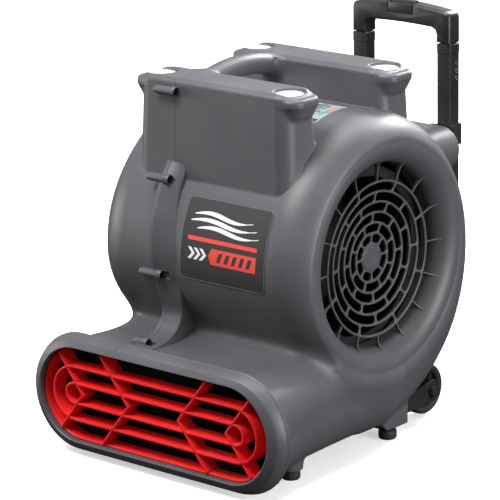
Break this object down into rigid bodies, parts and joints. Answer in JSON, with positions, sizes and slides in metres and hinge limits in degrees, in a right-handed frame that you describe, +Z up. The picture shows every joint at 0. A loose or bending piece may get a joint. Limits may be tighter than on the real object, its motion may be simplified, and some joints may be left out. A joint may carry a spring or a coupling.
{
  "type": "air mover",
  "caption": "Centrifugal floor-drying air mover with a wide low outlet grille, side inlets, top carry bar, rear wheels and a telescopic pull handle.",
  "frame": {"origin": "on the floor, under the middle of the bounding box at rest", "axes": "+Z up, -Y the way the air leaves, +X the side of the inlet that the picture shows"},
  "size_m": [0.42, 0.5338, 0.526],
  "materials": {
    "housing_plastic": "satin moulded plastic with a fine grain",
    "outlet_red": "satin red moulded plastic",
    "black_plastic": "satin black plastic",
    "painted_tube": "semi-gloss black powder coat",
    "foot_rubber": "matt black rubber",
    "screw_steel": "blackened steel",
    "bright_steel": "zinc plated steel",
    "label_film": "printed plastic film",
    "rating_label": "printed paper label",
    "motor_paint": "dark grey enamel",
    "lamination_steel": "stacked steel sheets"
  },
  "bodies": {
    "housing": {"housing_right": "housing_plastic", "housing_left": "housing_plastic", "seam_screw_1": "screw_steel", "seam_screw_2": "screw_steel", "seam_screw_3": "screw_steel", "seam_screw_4": "screw_steel", "seam_screw_5": "screw_steel", "seam_screw_6": "screw_steel", "seam_screw_7": "screw_steel", "seam_screw_8": "screw_steel", "front_label": "label_film", "top_label": "rating_label", "outlet_grille": "outlet_red", "front_foot_right": "foot_rubber", "front_foot_left": "foot_rubber", "rear_foot_right": "foot_rubber", "rear_foot_left": "foot_rubber", "wheel_fork_right": "black_plastic", "wheel_fork_left": "black_plastic", "axle_bolt_right": "bright_steel", "axle_bolt_left": "bright_steel", "axle_nut_right": "bright_steel", "axle_nut_left": "bright_steel", "outer_tube_right": "painted_tube", "outer_tube_left": "painted_tube", "tube_collar_right": "black_plastic", "tube_collar_left": "black_plastic", "upper_clamp_right": "black_plastic", "upper_clamp_left": "black_plastic", "lower_clamp_right": "black_plastic", "lower_clamp_left": "black_plastic", "motor_case": "motor_paint", "motor_end_bell_left": "motor_paint", "motor_end_bell_right": "motor_paint", "bearing_left": "bright_steel", "bearing_right": "bright_steel", "motor_stator": "lamination_steel", "motor_bracket": "painted_tube", "run_capacitor": "black_plastic", "control_panel": "black_plastic", "speed_switch": "black_plastic", "breaker_body": "black_plastic", "outlet_socket": "black_plastic", "cord_gland": "black_plastic"},
    "wheel_right": {"wheel_tyre_right": "foot_rubber", "wheel_hub_right": "black_plastic"},
    "wheel_left": {"wheel_tyre_left": "foot_rubber", "wheel_hub_left": "black_plastic"},
    "fan": {"fan_wheel": "black_plastic", "fan_hub": "bright_steel", "motor_shaft": "bright_steel", "motor_rotor": "lamination_steel"},
    "pull_handle": {"inner_tube_right": "painted_tube", "inner_tube_left": "painted_tube", "trolley_grip": "black_plastic"},
    "grip_button": {"grip_button": "black_plastic"},
    "speed_knob": {"speed_knob": "black_plastic"},
    "reset_button": {"reset_button": "outlet_red"}
  },
  "joints": [
    {"name": "fan_spin", "type": "hinge", "parent": "housing", "child": "fan", "pos_m": [0, 0.003, 0.248], "axis": [1, 0, 0], "continuous": true},
    {"name": "wheel_right_spin", "type": "hinge", "parent": "housing", "child": "wheel_right", "pos_m": [0.114, 0.137, 0.037], "axis": [1, 0, 0], "continuous": true},
    {"name": "wheel_left_spin", "type": "hinge", "parent": "housing", "child": "wheel_left", "pos_m": [-0.114, 0.137, 0.037], "axis": [1, 0, 0], "continuous": true},
    {"name": "pull_handle_slide", "type": "slide", "parent": "housing", "child": "pull_handle", "axis": [0, 0, 1], "range_m": [0, 0.3]},
    {"name": "grip_button_press", "type": "slide", "parent": "pull_handle", "child": "grip_button", "axis": [0, 0, -1], "range_m": [0, 0.004], "stiffness_N_per_m": 400, "springref_m": -0.002},
    {"name": "speed_knob_turn", "type": "hinge", "parent": "housing", "child": "speed_knob", "pos_m": [-0.017, 0.225, 0.25], "axis": [0, -1, 0], "range_deg": [0, 135]},
    {"name": "reset_button_press", "type": "slide", "parent": "housing", "child": "reset_button", "axis": [0, -1, 0], "range_m": [0, 0.003], "stiffness_N_per_m": 400, "springref_m": -0.002}
  ]
}
